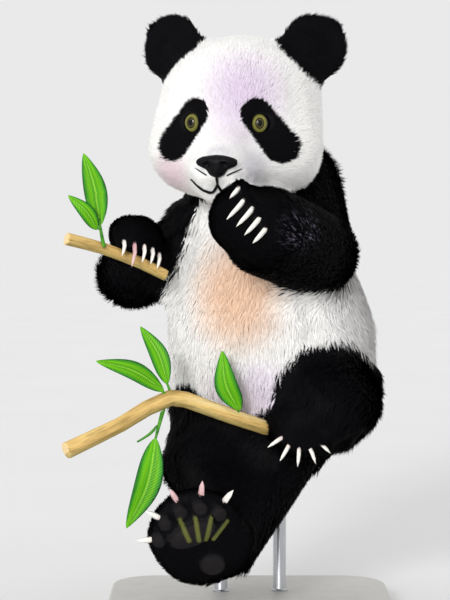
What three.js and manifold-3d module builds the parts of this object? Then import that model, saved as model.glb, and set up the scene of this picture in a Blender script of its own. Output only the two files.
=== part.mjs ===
// A young giant panda, life size, sitting astride a branch with one paw at its mouth.
// Millimetres, +Z up. The panda faces -Y, and its own left side is at +X.
// The origin is the middle of the display stand's underside.
import * as THREE from "three";
import { ConvexGeometry } from "three/addons/geometries/ConvexGeometry.js";
import { mergeVertices } from "three/addons/utils/BufferGeometryUtils.js";
import { SimplifyModifier } from "three/addons/modifiers/SimplifyModifier.js";
import Module from "manifold-3d";

const wasm = await Module();
wasm.setup();

const v = (x, y, z) => new THREE.Vector3(x, y, z);
const degrees = THREE.MathUtils.degToRad;
const SIDES = [-1, 1];
const both = (make) => SIDES.map(make);

// ---------------------------------------------------------------- sizes

const CUT = 0.5; // gap between two parts of the body
const FIT = 0.6; // gap round an eye, a claw, the nose or the perch
const PRESS = 1.2; // gap between the raised forearm and the coat it lies on
const STANDOFF = 7; // how far the cut round a limb stands off the limb
const TRIM = 0.2; // how far a part's surface may move to lose its slivers

const HEAD_AT = v(-14, -40, 650);
const HEAD_TURN = new THREE.Euler(degrees(1), degrees(1), degrees(-11.5), "ZYX");
const EYE = { x: 40, y: -78, z: -9, radius: 15 };
const EAR = { x: 91, y: 12, z: 88, radius: 47, thick: 13, out: degrees(22) };
const NOSE = { y: -137, z: -60 };

// The head lies in its own frame: each form of it has a centre and three radii.
const SKULL = {
  cranium: [v(0, 8, 13), [106, 102, 93]],
  brow: [v(0, -42, 18), [72, 50, 62]],
  jowl: [v(0, -44, -66), [66, 60, 41]],
};
const CHEEK = { at: v(56, -20, -42), radii: [56, 62, 56] };
const MUZZLE = {
  snout: [v(0, -95, -67), [45, 47, 31]],
  chin: [v(0, -90, -94), [31, 36, 18]],
};
const BRIDGE = { top: [v(0, -76, -24), 32], end: [v(0, -122, -50), 19] };

const TRUNK = {
  rump: [v(34, 32, 292), [139, 109, 96]],
  belly: [v(25, 17, 375), [140, 124, 118]],
  chest: [v(18, 25, 480), [118, 98, 96]],
  shoulders: [v(10, 38, 548), [92, 74, 74]],
};
const NECK = { base: [v(4, 36, 572), 76], top: [v(-10, 4, 640), 82] };

// [place, radius] of each joint
const LEFT_ARM = {
  shoulder: [v(66, 42, 564), 56],
  bend: [v(80, -32, 500), 52],
  elbow: [v(82, -58, 478), 56],
  wrist: [v(22, -158, 505), 58],
};
const RIGHT_ARM = {
  shoulder: [v(-48, 42, 522), 44],
  elbow: [v(-156, 14, 446), 40],
  wrist: [v(-148, -22, 470), 36],
};
const LEFT_LEG = {
  hip: [v(92, 30, 290), 77],
  knee: [v(101, -82, 291), 62],
  ankle: [v(74, -88, 266), 46],
};
const RIGHT_LEG = {
  hip: [v(-32, 20, 274), 76],
  thigh: [v(-40, 4, 258), 69],
  knee: [v(-58, -46, 210), 54],
  calf: [v(38, -10, 215), 54],
  ankle: [v(-22, -118, 118), 38],
};
const TAIL = { root: [v(35, 122, 258), 30], tip: [v(37, 146, 204), 22] };

// A paw lies in its own frame: x across it, y to the toes, z out of its outer face.
// The toes stand in a fan on the rim of a foot, or in a row on the knuckles of a hand.
// A claw leaves its toe, bends over the rise and ends at the drop.
const LEFT_HAND = {
  at: v(-10, -188, 521), toes: v(-0.85, -0.12, -0.52), face: v(0, -1, 0), radii: [46, 44, 40],
  toe: 11, row: 14.5, shift: 8, lean: -16, reach: -14, lift: 0.8,
  claw: [24, 28, 31, 37, 18], thick: 4.6, rise: 12, drop: 8,
};
const RIGHT_HAND = {
  at: v(-145, -46, 496), toes: v(-0.1, -0.5, -0.86), face: v(0.49, -0.77, 0.39), radii: [40, 32, 31],
  toe: 11, row: 12.5, shift: 0, lean: 0, reach: 20, lift: 0.85,
  claw: [23, 23, 26, 36, 22], thick: 3.8, rise: 8, drop: 3,
};
const LEFT_FOOT = {
  at: v(62, -96, 262), toes: v(-0.09, -0.2, -0.97), face: v(0, -1, 0), radii: [42, 42, 34],
  toe: 12, fan: 25, reach: 25, lift: 14,
  claw: [26, 27, 28, 28, 26], thick: 4, rise: 10, drop: 6,
};
const RIGHT_FOOT = {
  at: v(-65, -160, 131), toes: v(-0.45, -0.28, 0.85), face: v(0, -1, 0), radii: [61, 68, 22],
  toe: 16, fan: 30, reach: 48, lift: 0,
  claw: [28, 29, 30, 30, 28], thick: 6, rise: 4, drop: 7,
};

const SEAT_BRANCH = {
  points: [v(-225, -190, 242), v(-160, -150, 270), v(-100, -113, 299), v(-62, -100, 288),
    v(18, -80, 258), v(66, -62, 250), v(112, -40, 244)],
  radii: [11, 10, 11, 10.5, 10, 10, 9],
};
const HELD_BRANCH = {
  points: [v(-230, -108, 497), v(-185, -84, 484), v(-140, -69, 466), v(-107, -59, 449)],
  radii: [8.5, 8, 8, 7.5],
};
const TWIGS = {
  held: { points: [v(-184, -92, 486), v(-187, -94, 502), v(-190, -94, 520)], radii: [3, 2.4, 1.8] },
  seat: { points: [v(-106, -118, 296), v(-112, -128, 275), v(-117, -136, 256)], radii: [3.4, 2.8, 2.2] },
  bare: { points: [v(-112, -130, 270), v(-126, -138, 256), v(-141, -142, 247)], radii: [2.4, 2, 1.4] },
};
// base, tip, half the width, how far the middle bows to the side, which way the upper face looks
const LEAVES = {
  held_tall: { from: v(-189, -95, 512), to: v(-211, -66, 604), half: 14, bow: 3, face: v(0.2, -1, 0.2) },
  held_low: { from: v(-192, -96, 508), to: v(-227, -112, 551), half: 9, bow: 4, face: v(0.3, -1, -0.2) },
  seat_upper: { from: v(-104, -115, 316), to: v(-138, -112, 388), half: 11, bow: 5, face: v(0.2, -1, 0.1) },
  seat_side: { from: v(-108, -122, 308), to: v(-191, -152, 348), half: 12, bow: 6, face: v(0, -1, 0.5) },
  seat_front: { from: v(-14, -96, 281), to: v(-36, -116, 358), half: 14, bow: -7, face: v(-0.1, -1, 0.1) },
  hanging: { from: v(-118, -140, 252), to: v(-155, -132, 138), half: 16, bow: -8, face: v(0.1, -1, 0.1) },
};
const LEAF = { thick: 2.4, arch: 5, trough: 0.22, rim: 0.8, rings: 9 };

const STAND = { halfX: 185, halfY: 150, corner: 60, thick: 26, edge: 4, rod: 9 };
const RODS = { left: v(40, 44, 208), right: v(-38, 40, 214) };
const ROD_IN = 26; // how deep a rod goes up into the body

// ---------------------------------------------------------------- forms
// A form is a function of a point that gives the distance to its surface, negative inside.

function ball(at, radii, turn = new THREE.Euler()) {
  const back = new THREE.Matrix4().makeRotationFromEuler(turn).setPosition(at).invert();
  const q = v(0, 0, 0);
  return (p) => {
    q.copy(p).applyMatrix4(back);
    const near = Math.hypot(q.x / radii[0], q.y / radii[1], q.z / radii[2]);
    const slope = Math.hypot(q.x / radii[0] ** 2, q.y / radii[1] ** 2, q.z / radii[2] ** 2);
    return slope < 1e-9 ? -Math.min(...radii) : (near * (near - 1)) / slope;
  };
}

function taper([from, fromRadius], [to, toRadius]) {
  const along = to.clone().sub(from);
  const size = along.lengthSq();
  const q = v(0, 0, 0);
  return (p) => {
    const share = THREE.MathUtils.clamp(q.copy(p).sub(from).dot(along) / size, 0, 1);
    return q.addScaledVector(along, -share).length() - THREE.MathUtils.lerp(fromRadius, toRadius, share);
  };
}

function blend(softness, ...forms) {
  return (p) => {
    let d = Infinity;
    for (const form of forms) {
      const e = form(p);
      const h = Math.max(softness - Math.abs(d - e), 0) / softness;
      d = Math.min(d, e) - (h * h * softness) / 4;
    }
    return d;
  };
}

function hollow(softness, form, taken) {
  const left = blend(softness, (p) => -form(p), taken);
  return (p) => -left(p);
}

function within(matrix, form) {
  const back = matrix.clone().invert();
  const q = v(0, 0, 0);
  return (p) => form(q.copy(p).applyMatrix4(back));
}

// ---------------------------------------------------------------- head

const headFrame = new THREE.Matrix4().makeRotationFromEuler(HEAD_TURN).setPosition(HEAD_AT);

function earForm(side) {
  const turn = new THREE.Euler(degrees(-6), 0, side * EAR.out, "ZYX");
  const at = v(side * EAR.x, EAR.y, EAR.z);
  const front = v(0, -1, 0).applyEuler(turn);
  const shell = ball(at, [EAR.radius, EAR.thick, EAR.radius], turn);
  const cup = ball(at.clone().addScaledVector(front, 16), [EAR.radius - 10, 14, EAR.radius - 9], turn);
  const root = taper([v(side * 66, 18, 60), 28], [v(side * 80, 14, 80), 22]);
  return blend(14, hollow(6, shell, cup), root);
}

const balls = (parts) => Object.values(parts).map(([at, radii]) => ball(at, radii));
const cheeks = both((s) => ball(v(s * CHEEK.at.x, CHEEK.at.y, CHEEK.at.z), CHEEK.radii));
const skull = blend(26, ...balls(SKULL), ...cheeks);
const muzzle = blend(14, ...balls(MUZZLE), taper(BRIDGE.top, BRIDGE.end));
const head = blend(12, blend(22, skull, muzzle), ...both(earForm));

const nosePad = blend(4, ball(v(0, 0, 3), [26.5, 11, 9.5]), ball(v(0, 1, -6), [12, 11, 10]));
const nostrils = both((s) => ball(v(s * 11, -10, 0), [5.5, 6, 3.6], new THREE.Euler(0, degrees(s * 24), 0)));
const noseForm = hollow(2, nosePad, blend(1, ...nostrils));

// ---------------------------------------------------------------- trunk

const trunk = blend(40, ...balls(TRUNK));
const neck = taper(NECK.base, NECK.top);

// ---------------------------------------------------------------- paws

const TOES = [-2, -1, 0, 1, 2];

function pawFrame({ at, toes, face }) {
  const y = toes.clone().normalize();
  const z = face.clone().addScaledVector(y, -face.dot(y)).normalize();
  return new THREE.Matrix4().makeBasis(y.clone().cross(z), y, z).setPosition(at);
}

function toeAt(number, { row, shift, fan, reach, lift, radii }, further = 0, higher = 0) {
  const out = reach + further;
  if (row) {
    const across = shift + row * number;
    const high = Math.max(0.04, 1 - (across / radii[0]) ** 2 - (out / radii[1]) ** 2);
    return v(across, out, lift * radii[2] * Math.sqrt(high) + higher);
  }
  const angle = degrees(fan) * number;
  return v(Math.sin(angle) * out, Math.cos(angle) * out, lift + higher);
}

function paw(spec) {
  const toe = (number) => ball(toeAt(number, spec), [spec.toe, spec.toe + 3, spec.toe]);
  return blend(7, ball(v(0, 0, 0), spec.radii), ...TOES.map(toe));
}

const pads = blend(
  3,
  ball(v(0, 14, 18), [34, 17, 9]),
  ball(v(3, -36, 16), [17, 15, 9]),
  ...TOES.map((n) => ball(toeAt(n, RIGHT_FOOT, 1, 13), [9, 9, 7])),
);
const leftHand = within(pawFrame(LEFT_HAND), paw(LEFT_HAND));
const rightHand = within(pawFrame(RIGHT_HAND), paw(RIGHT_HAND));
const leftFoot = within(pawFrame(LEFT_FOOT), paw(LEFT_FOOT));
const rightFoot = within(pawFrame(RIGHT_FOOT), blend(3, paw(RIGHT_FOOT), pads));

// ---------------------------------------------------------------- the whole body as one form

const raisedArm = blend(14, taper(LEFT_ARM.elbow, LEFT_ARM.wrist), leftHand);
const body = blend(
  22,
  blend(30, trunk, neck, within(headFrame, head)),
  taper(TAIL.root, TAIL.tip),
  taper(LEFT_ARM.shoulder, LEFT_ARM.bend),
  taper(RIGHT_ARM.shoulder, RIGHT_ARM.elbow),
  blend(12, taper(RIGHT_ARM.elbow, RIGHT_ARM.wrist), rightHand),
  taper(LEFT_LEG.hip, LEFT_LEG.knee),
  blend(14, taper(LEFT_LEG.knee, LEFT_LEG.ankle), leftFoot),
  taper(RIGHT_LEG.hip, RIGHT_LEG.knee),
  blend(16, taper(RIGHT_LEG.calf, RIGHT_LEG.ankle), taper(RIGHT_LEG.knee, RIGHT_LEG.ankle), rightFoot),
);

// ---------------------------------------------------------------- surfaces

// Naive surface nets: one vertex in each cell that the surface crosses, one quad for each crossed edge.
function surface(form, { low, high, step }) {
  const n = ["x", "y", "z"].map((k) => Math.ceil((high[k] - low[k]) / step) + 1);
  const at = (i, j, k) => i + n[0] * (j + n[1] * k);
  const onRim = (i, j, k) => !i || !j || !k || i === n[0] - 1 || j === n[1] - 1 || k === n[2] - 1;
  const value = new Float32Array(n[0] * n[1] * n[2]);
  const p = v(0, 0, 0);
  for (let k = 0; k < n[2]; k++)
    for (let j = 0; j < n[1]; j++)
      for (let i = 0; i < n[0]; i++) {
        const d = form(p.set(i, j, k).multiplyScalar(step).add(low)) || 1e-6;
        value[at(i, j, k)] = onRim(i, j, k) ? Math.max(d, step) : d;
      }

  const corners = [0, 1, 2, 3, 4, 5, 6, 7].map((c) => [c & 1, (c >> 1) & 1, c >> 2]);
  const edges = corners.flatMap((a, i) => [1, 2, 4].filter((bit) => !(i & bit)).map((bit) => [i, i | bit]));
  const vertexOf = new Int32Array(value.length).fill(-1);
  const positions = [];
  for (let k = 0; k < n[2] - 1; k++)
    for (let j = 0; j < n[1] - 1; j++)
      for (let i = 0; i < n[0] - 1; i++) {
        const d = corners.map(([a, b, c]) => value[at(i + a, j + b, k + c)]);
        const crossed = edges.filter(([a, b]) => d[a] < 0 !== d[b] < 0);
        if (!crossed.length) continue;
        const mean = v(0, 0, 0);
        for (const [a, b] of crossed) {
          const share = d[a] / (d[a] - d[b]);
          mean.add(p.set(...corners[a]).lerp(v(...corners[b]), share));
        }
        mean.divideScalar(crossed.length).add(p.set(i, j, k)).multiplyScalar(step).add(low);
        vertexOf[at(i, j, k)] = positions.length / 3;
        positions.push(mean.x, mean.y, mean.z);
      }

  const axes = [[1, 0, 0], [0, 1, 0], [0, 0, 1]];
  const faces = [];
  for (let k = 0; k < n[2] - 1; k++)
    for (let j = 0; j < n[1] - 1; j++)
      for (let i = 0; i < n[0] - 1; i++)
        axes.forEach((a, axis) => {
          const inside = value[at(i, j, k)] < 0;
          if (inside === value[at(i + a[0], j + a[1], k + a[2])] < 0) return;
          const [b, c] = [axes[(axis + 1) % 3], axes[(axis + 2) % 3]];
          const cell = (s, t) => vertexOf[at(...[i, j, k].map((m, x) => m - s * b[x] - t * c[x]))];
          const quad = [cell(1, 1), cell(0, 1), cell(0, 0), cell(1, 0)];
          if (!inside) quad.reverse();
          faces.push(quad[0], quad[1], quad[2], quad[0], quad[2], quad[3]);
        });
  const geometry = new THREE.BufferGeometry();
  geometry.setAttribute("position", new THREE.Float32BufferAttribute(positions, 3));
  geometry.setIndex(faces);
  return geometry;
}

const modifier = new SimplifyModifier();
const lighter = (geometry, triangles) =>
  modifier.modify(geometry, Math.max(0, geometry.getAttribute("position").count - triangles / 2));

function solid(geometry) {
  const bare = new THREE.BufferGeometry();
  bare.setAttribute("position", geometry.getAttribute("position"));
  if (geometry.getIndex()) bare.setIndex(geometry.getIndex());
  const merged = mergeVertices(bare, 1e-3);
  return new wasm.Manifold(
    new wasm.Mesh({
      numProp: 3,
      vertProperties: new Float32Array(merged.getAttribute("position").array),
      triVerts: new Uint32Array(merged.getIndex().array),
    }),
  );
}

function geometryOf(manifold) {
  const mesh = manifold.getMesh();
  const geometry = new THREE.BufferGeometry();
  geometry.setAttribute("position", new THREE.BufferAttribute(mesh.vertProperties, 3));
  geometry.setIndex(new THREE.BufferAttribute(mesh.triVerts, 1));
  return geometry;
}

const largest = (manifold) =>
  manifold.decompose().reduce((best, part) => (part.volume() > best.volume() ? part : best));

// the same solid with its surface moved out
function swollen(manifold, by) {
  const geometry = geometryOf(manifold);
  geometry.computeVertexNormals();
  const position = geometry.getAttribute("position");
  const normal = geometry.getAttribute("normal");
  const p = v(0, 0, 0);
  const n = v(0, 0, 0);
  for (let i = 0; i < position.count; i++) {
    p.fromBufferAttribute(position, i).addScaledVector(n.fromBufferAttribute(normal, i), by);
    position.setXYZ(i, p.x, p.y, p.z);
  }
  return solid(geometry);
}

async function carved(form, box, step, triangles) {
  return solid(await lighter(surface(form, { low: box.min, high: box.max, step }), triangles));
}

// ---------------------------------------------------------------- sticks, claws and leaves

// rings of points joined into a closed skin, with a point at each end
function ringed(rings, start, end) {
  const sides = rings[0].length;
  const points = [...rings.flat(), start, end];
  const faces = [];
  for (let s = 0; s < sides; s++) {
    const t = (s + 1) % sides;
    faces.push(points.length - 2, s, t);
    for (let r = 0; r < rings.length - 1; r++) {
      const [a, b, c, d] = [r * sides + s, r * sides + t, (r + 1) * sides + t, (r + 1) * sides + s];
      faces.push(a, c, b, a, d, c);
    }
    const last = (rings.length - 1) * sides;
    faces.push(last + t, last + s, points.length - 1);
  }
  const geometry = new THREE.BufferGeometry().setFromPoints(points);
  geometry.setIndex(faces);
  return solid(geometry);
}

// a round bar along a smooth line; radius is a function of the share of its length
function bar(points, radiusAt, { sides, rings, flat = 1, up = v(0, 1, 0), grown = 0, pointed = false }) {
  const line = new THREE.CatmullRomCurve3(points);
  const shares = Array.from({ length: rings }, (_, i) => i / (rings - (pointed ? 0 : 1)));
  const around = shares.map((share) => {
    const along = line.getTangent(share);
    const side = along.clone().cross(up).normalize();
    const over = side.clone().cross(along);
    const radius = radiusAt(share) + grown;
    return Array.from({ length: sides }, (_, i) => {
      const angle = (2 * Math.PI * (i + 0.5)) / sides;
      return line.getPoint(share)
        .addScaledVector(side, Math.cos(angle) * radius * flat)
        .addScaledVector(over, Math.sin(angle) * radius);
    });
  });
  const start = line.getPoint(0).addScaledVector(line.getTangent(0), -grown);
  const end = line.getPoint(1).addScaledVector(line.getTangent(1), pointed ? 2 * grown : grown);
  if (grown) {
    for (const q of around[0]) q.addScaledVector(line.getTangent(0), -grown);
    if (!pointed) for (const q of around.at(-1)) q.addScaledVector(line.getTangent(1), grown);
  }
  return ringed(around, start, end);
}

function stick({ points, radii }, sides, grown = 0) {
  const radiusAt = (share) => {
    const place = share * (radii.length - 1);
    const i = Math.min(Math.floor(place), radii.length - 2);
    return THREE.MathUtils.lerp(radii[i], radii[i + 1], place - i);
  };
  return bar(points, radiusAt, { sides, rings: 2 * points.length - 1, grown });
}

function claw(spec, number, grown = 0) {
  const turn = degrees(spec.row ? spec.lean : spec.fan * number);
  const lean = v(Math.sin(turn), Math.cos(turn), 0);
  const root = toeAt(number, spec, -2, 1);
  const size = spec.claw[number + 2];
  const middle = root.clone().addScaledVector(lean, 0.55 * size).add(v(0, 0, spec.rise));
  const tip = root.clone().addScaledVector(lean, size + 4).add(v(0, 0, spec.drop));
  const points = [root, middle, tip].map((q) => q.applyMatrix4(pawFrame(spec)));
  const radiusAt = (share) => spec.thick * Math.sqrt(1 - 0.9 * share * share);
  return bar(points, radiusAt, { sides: 5, rings: 4, flat: 0.8, up: spec.face, grown, pointed: true });
}

function leaf({ from, to, half, bow, face }) {
  const along = to.clone().sub(from).normalize();
  const across = along.clone().cross(face).normalize();
  const over = across.clone().cross(along);
  const middle = from.clone().lerp(to, 0.5).addScaledVector(across, bow).addScaledVector(over, LEAF.arch);
  const line = new THREE.CatmullRomCurve3([from, middle, to]);
  const rings = Array.from({ length: LEAF.rings }, (_, i) => {
    const share = (i + 0.2) / (LEAF.rings - 0.6);
    const wide = half * Math.sin(Math.PI * share ** 0.8) ** 0.85 + LEAF.rim;
    const q = line.getPoint(share);
    const edge = (s) => q.clone().addScaledVector(across, s * wide).addScaledVector(over, LEAF.trough * wide);
    const rib = (s) => q.clone().addScaledVector(over, (s * LEAF.thick) / 2);
    return [edge(1), rib(1), edge(-1), rib(-1)];
  });
  return ringed(rings, line.getPoint(0), line.getPoint(1));
}

// ---------------------------------------------------------------- the cuts that part the body

// each claim is a convex solid that takes one part out of the body; by widens it for the gap
const hull = (points) => solid(new ConvexGeometry(points));

const around = (at, radius) => (by) => {
  const corners = new THREE.IcosahedronGeometry(radius + by, 1).translate(...at).getAttribute("position");
  return hull(Array.from({ length: corners.count }, (_, i) => v(0, 0, 0).fromBufferAttribute(corners, i)));
};

// an eight-sided sleeve along a limb, from inside one joint to beyond the next
function along([from, fromRadius], [to, toRadius], { start = 0.2, end = 1.1, third } = {}) {
  const axis = to.clone().sub(from).normalize();
  const side = axis.clone().cross(Math.abs(axis.z) < 0.8 ? v(0, 0, 1) : v(1, 0, 0)).normalize();
  const over = axis.clone().cross(side);
  return (by) => {
    const ring = (at, radius, shift) =>
      Array.from({ length: 8 }, (_, i) => {
        const angle = (Math.PI * (i + 0.5)) / 4;
        const out = (radius + STANDOFF + by) / Math.cos(Math.PI / 8);
        return at.clone().addScaledVector(axis, shift)
          .addScaledVector(side, Math.cos(angle) * out)
          .addScaledVector(over, Math.sin(angle) * out);
      });
    const first = ring(from, fromRadius, -start * fromRadius - by);
    const last = ring(to, toRadius, end * toRadius + by);
    return hull([...first, ...last, ...(third ? ring(third[0], third[1] + STANDOFF, 0) : [])]);
  };
}

// everything on one side of a plane, near it
const beyond = (at, normal, half) => (by) => {
  const box = new THREE.BoxGeometry(2 * half, 2 * half, half).translate(0, 0, half / 2 - by).toNonIndexed();
  box.applyQuaternion(new THREE.Quaternion().setFromUnitVectors(v(0, 0, 1), normal.clone().normalize()));
  return solid(box.translate(...at));
};

const inHead = (x, y, z) => v(x, y, z).applyMatrix4(headFrame);
const earClaim = (s) => around(inHead(s * (EAR.x + 5), EAR.y, EAR.z + 3), EAR.radius + 8);

// Each part of the body, in the order of cutting: the first takes what two would share.
const PARTS = {
  ear_left: { claim: earClaim(1), step: 5, triangles: 230 },
  ear_right: { claim: earClaim(-1), step: 5, triangles: 230 },
  hand_right: { claim: around(RIGHT_HAND.at, 50), step: 5, triangles: 230, paw: RIGHT_HAND },
  forearm_right: { claim: along(RIGHT_ARM.wrist, RIGHT_ARM.elbow), step: 7, triangles: 170 },
  upper_arm_right: {
    claim: along(RIGHT_ARM.elbow, RIGHT_ARM.shoulder, { start: 1 }),
    step: 8,
    triangles: 180,
  },
  upper_arm_left: { claim: along(LEFT_ARM.bend, LEFT_ARM.shoulder, { start: 1 }), step: 8, triangles: 190 },
  head: { claim: beyond(v(0, 20, 612), v(-0.1, -0.55, 0.83), 260), step: 6, triangles: 900 },
  neck: { claim: beyond(v(5, 60, 556), v(-0.05, -0.35, 0.94), 200), step: 8, triangles: 190 },
  foot_left: { claim: around(v(62, -100, 254), 54), step: 5, triangles: 220, paw: LEFT_FOOT },
  foot_right: { claim: around(RIGHT_FOOT.at, 82), step: 4.5, triangles: 390, paw: RIGHT_FOOT },
  shank_right: {
    claim: along(RIGHT_LEG.calf, RIGHT_LEG.ankle, { start: 0.7, third: RIGHT_LEG.knee }),
    step: 8,
    triangles: 210,
  },
  thigh_right: { claim: along(RIGHT_LEG.thigh, RIGHT_LEG.knee), step: 8, triangles: 190 },
  shank_left: { claim: along(LEFT_LEG.knee, LEFT_LEG.ankle, { start: 0.25 }), step: 8, triangles: 160 },
  thigh_left: { claim: along(LEFT_LEG.hip, LEFT_LEG.knee), step: 8, triangles: 190 },
  tail: { claim: along(TAIL.root, TAIL.tip, { start: 0.4 }), step: 7, triangles: 100 },
  trunk: { step: 8, triangles: 460 },
};
const WHOLE = new THREE.Box3(v(-230, -260, 40), v(230, 220, 820));

const group = new THREE.Group();
function add(name, manifold, [color, roughness, metalness = 0]) {
  const material = new THREE.MeshStandardMaterial({ color, roughness, metalness });
  const mesh = new THREE.Mesh(geometryOf(manifold.simplify(TRIM)), material);
  mesh.name = name;
  group.add(mesh);
}

const WHITE = [0xe9e7e4, 0.85];
const BLACK = [0x0e1014, 0.8];
const LOOKS = {
  head: WHITE, trunk: WHITE, tail: WHITE,
  eye: [0x69703f, 0.12], nose: [0x101218, 0.35], claw: [0xeadfdc, 0.35],
  branch: [0xc9a86a, 0.6], leaf: [0x4f9a2a, 0.45], stand: [0xd9d7d2, 0.5], rod: [0xb9bbbe, 0.35, 0.9],
};

// everything that the coat makes room for, a little larger than it is
const rodFor = (top) => ({
  points: [v(top.x, top.y, STAND.thick + FIT), v(top.x, top.y, top.z + ROD_IN)],
  radii: [STAND.rod, STAND.rod],
});
const eyes = both((s) => {
  const at = new THREE.Matrix4().setPosition(s * EYE.x, EYE.y, EYE.z).premultiply(headFrame);
  return solid(new THREE.SphereGeometry(EYE.radius, 12, 8).toNonIndexed().applyMatrix4(at));
});
const noseFrame = headFrame.clone().multiply(new THREE.Matrix4().setPosition(0, NOSE.y, NOSE.z));
const noseBox = new THREE.Box3().setFromCenterAndSize(inHead(0, NOSE.y, NOSE.z), v(66, 60, 60));
const nose = await carved(within(noseFrame, noseForm), noseBox, 2.5, 220);
const room = [
  stick(SEAT_BRANCH, 8, FIT),
  stick(HELD_BRANCH, 8, FIT),
  ...Object.values(RODS).map((top) => stick(rodFor(top), 10, FIT)),
  ...eyes.map((eye) => swollen(eye, FIT)),
  await carved(within(noseFrame, (p) => nosePad(p) - 3 * FIT), noseBox, 2.5, 180),
];

const LEFT_REACH = new THREE.Box3(v(-80, -260, 400), v(160, 20, 600));
const arm = await carved(raisedArm, LEFT_REACH, 5, 490);
const handClaim = around(LEFT_HAND.at, 60);
const armRoom = wasm.Manifold.union([...TOES.map((n) => claw(LEFT_HAND, n, FIT)), ...room]);
add("hand_left", largest(arm.intersect(handClaim(0)).subtract(armRoom)), BLACK);
add("forearm_left", largest(arm.subtract(handClaim(CUT)).subtract(armRoom)), BLACK);

let taken = swollen(arm, PRESS);
for (const [name, { claim, step, triangles, paw: spec }] of Object.entries(PARTS)) {
  const box = WHOLE.clone();
  const cutter = claim?.(0);
  if (cutter) {
    const { min, max } = cutter.boundingBox();
    box.intersect(new THREE.Box3(v(...min), v(...max)).expandByScalar(2 * step));
  }
  let piece = await carved(body, box, step, triangles);
  if (cutter) piece = piece.intersect(cutter);
  piece = piece.subtract(taken).subtract(wasm.Manifold.union(room));
  if (spec) piece = piece.subtract(wasm.Manifold.union(TOES.map((n) => claw(spec, n, FIT))));
  add(name, largest(piece), LOOKS[name] ?? BLACK);
  if (claim) taken = taken.add(claim(CUT));
}

// ---------------------------------------------------------------- what is not flesh

eyes.forEach((eye, i) => add(i ? "eye_left" : "eye_right", eye, LOOKS.eye));
add("nose", nose, LOOKS.nose);
const PAWS = { hand_left: LEFT_HAND, hand_right: RIGHT_HAND, foot_left: LEFT_FOOT, foot_right: RIGHT_FOOT };
for (const [name, spec] of Object.entries(PAWS))
  for (const n of TOES) add(`claw_${name}_${n + 3}`, claw(spec, n), LOOKS.claw);

add("branch_seat", stick(SEAT_BRANCH, 8), LOOKS.branch);
add("branch_held", stick(HELD_BRANCH, 8), LOOKS.branch);
let wood = stick(SEAT_BRANCH, 8, FIT).add(stick(HELD_BRANCH, 8, FIT));
for (const [name, twig] of Object.entries(TWIGS)) {
  add(`twig_${name}`, largest(stick(twig, 6).subtract(wood)), LOOKS.branch);
  wood = wood.add(stick(twig, 6, FIT));
}
for (const [name, spec] of Object.entries(LEAVES))
  add(`leaf_${name}`, largest(leaf(spec).subtract(wood)), LOOKS.leaf);

const plate = new THREE.Shape();
const [x, y, c] = [STAND.halfX, STAND.halfY, STAND.corner];
plate.moveTo(-x + c, -y).lineTo(x - c, -y).quadraticCurveTo(x, -y, x, -y + c);
plate.lineTo(x, y - c).quadraticCurveTo(x, y, x - c, y);
plate.lineTo(-x + c, y).quadraticCurveTo(-x, y, -x, y - c);
plate.lineTo(-x, -y + c).quadraticCurveTo(-x, -y, -x + c, -y);
const base = new THREE.ExtrudeGeometry(plate, {
  depth: STAND.thick - 2 * STAND.edge,
  bevelThickness: STAND.edge,
  bevelSize: STAND.edge,
  bevelOffset: -STAND.edge,
  bevelSegments: 1,
  curveSegments: 4,
});
add("stand_base", solid(base.translate(0, 0, STAND.edge)), LOOKS.stand);
for (const [side, top] of Object.entries(RODS)) add(`stand_rod_${side}`, stick(rodFor(top), 10), LOOKS.rod);

export default group;
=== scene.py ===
import math

import bmesh
import bpy
import numpy as np
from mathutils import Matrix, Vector
from mathutils.bvhtree import BVHTree


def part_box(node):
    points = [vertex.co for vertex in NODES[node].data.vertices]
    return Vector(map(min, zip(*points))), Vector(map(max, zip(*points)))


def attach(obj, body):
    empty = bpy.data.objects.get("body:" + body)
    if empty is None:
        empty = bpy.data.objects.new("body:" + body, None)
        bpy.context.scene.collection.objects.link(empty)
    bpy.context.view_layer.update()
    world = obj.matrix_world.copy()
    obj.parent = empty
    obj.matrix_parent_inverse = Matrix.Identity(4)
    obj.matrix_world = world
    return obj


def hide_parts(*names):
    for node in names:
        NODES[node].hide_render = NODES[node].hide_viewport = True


# The looks of a young giant panda astride a branch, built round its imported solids.
# Metres, +Z up. The panda faces -Y, and its own left side is at +X.

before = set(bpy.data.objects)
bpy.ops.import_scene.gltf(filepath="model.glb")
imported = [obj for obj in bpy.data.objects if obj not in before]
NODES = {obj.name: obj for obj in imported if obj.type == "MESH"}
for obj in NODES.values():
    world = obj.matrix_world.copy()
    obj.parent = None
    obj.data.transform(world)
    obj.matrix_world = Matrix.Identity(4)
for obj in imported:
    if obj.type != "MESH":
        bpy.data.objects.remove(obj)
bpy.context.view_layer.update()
scene = bpy.context.scene
dice = np.random.default_rng(7)

# ---- sizes of the body and its coat

VOXEL = 0.0045  # the grain that the parts of the body are melted together at
SWELL = 0.0014  # how far they first grow, to close the cuts between them
SMOOTHING = dict(rounds=14, inward=0.6, outward=0.58)  # takes the facets off the melted body
# how near the eyes, the mouth and the sole that shows the skin is made finer, in two rounds
FINER = ((0.034, 0.05, 0.075), (0.026, 0.04, 0.061))
SHORTER = 0.68  # how much shorter and thinner the coat of the face is than that of the head
FACE = dict(nose=(0.05, 0.15), eye=(0.018, 0.06))  # how far from them it is at its shortest, and ends

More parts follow.
